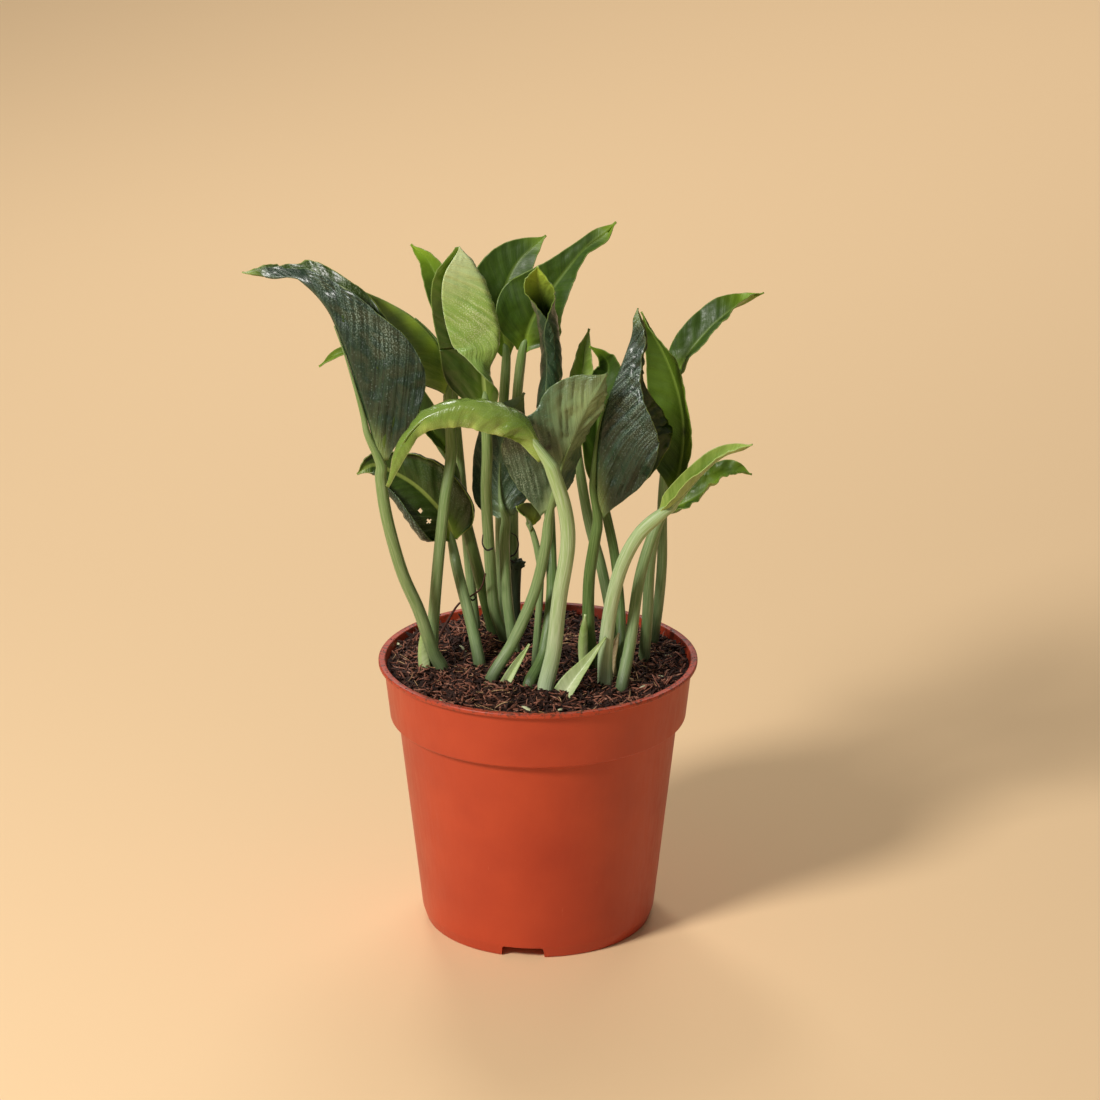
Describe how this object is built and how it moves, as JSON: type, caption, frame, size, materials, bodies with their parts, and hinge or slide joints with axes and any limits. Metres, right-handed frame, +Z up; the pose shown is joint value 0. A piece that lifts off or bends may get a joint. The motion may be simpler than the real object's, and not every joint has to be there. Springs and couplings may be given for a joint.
{
  "type": "potted pothos plant",
  "caption": "Leafy pothos plant with folded, rolled and arching leaves on upright petioles, growing in dark soil in a tapered round plastic nursery pot with a wide rim band.",
  "frame": {"origin": "centre of the pot's underside, on the surface it stands on", "axes": "+Z up along the pot's axis, -Y to the front of the plant, +X to its right"},
  "size_m": [0.1914, 0.12, 0.2653],
  "materials": {
    "pot_plastic": "moulded polypropylene, terracotta orange, semi-matte",
    "soil_coir": "loose coir and peat potting soil, dark brown with reddish fibres",
    "leaf_green": "glossy mid-green leaf blade with paler veins and margin",
    "leaf_dark": "dark silvery grey-green leaf blade, satin and finely rippled",
    "leaf_pale": "pale yellow-green young leaf blade",
    "petiole_green": "light green ribbed petiole, satin",
    "petiole_pale": "very pale green petiole, satin",
    "sheath_tan": "dry tan sheath leaf",
    "stub": "dark green cut stem, dull and jagged",
    "root": "thin dark brown aerial root"
  },
  "bodies": {
    "root": {"pot": "pot_plastic", "soil": "soil_coir", "cut_stub": "stub", "wiry_root": "root", "petiole_01": "petiole_green", "leaf_01": "leaf_dark", "petiole_02": "petiole_green", "leaf_02": "leaf_green", "petiole_03": "petiole_green", "leaf_03": "leaf_green", "petiole_04": "petiole_green", "leaf_04": "leaf_green", "petiole_05": "petiole_pale", "leaf_05": "leaf_green", "petiole_06": "petiole_green", "leaf_06": "leaf_dark", "petiole_07": "petiole_green", "leaf_07": "leaf_green", "petiole_08": "petiole_green", "leaf_08": "leaf_dark", "petiole_09": "petiole_green", "leaf_09": "leaf_green", "petiole_10": "petiole_green", "leaf_10": "leaf_dark", "petiole_11": "petiole_green", "leaf_11": "leaf_dark", "petiole_12": "petiole_green", "leaf_12": "leaf_dark", "petiole_13": "petiole_green", "leaf_13": "leaf_green", "petiole_14": "petiole_green", "leaf_14": "leaf_green", "petiole_15": "petiole_green", "leaf_15": "leaf_dark", "petiole_16": "petiole_pale", "leaf_16": "leaf_pale", "petiole_17": "petiole_green", "leaf_17": "leaf_green", "petiole_18": "petiole_green", "leaf_18": "leaf_dark", "petiole_19": "petiole_green", "leaf_19": "leaf_green", "petiole_20": "petiole_green", "leaf_20": "leaf_dark", "sheath_1": "petiole_pale", "sheath_2": "sheath_tan", "sheath_3": "petiole_pale", "sheath_4": "petiole_pale", "sheath_5": "petiole_pale"}
  },
  "joints": []
}
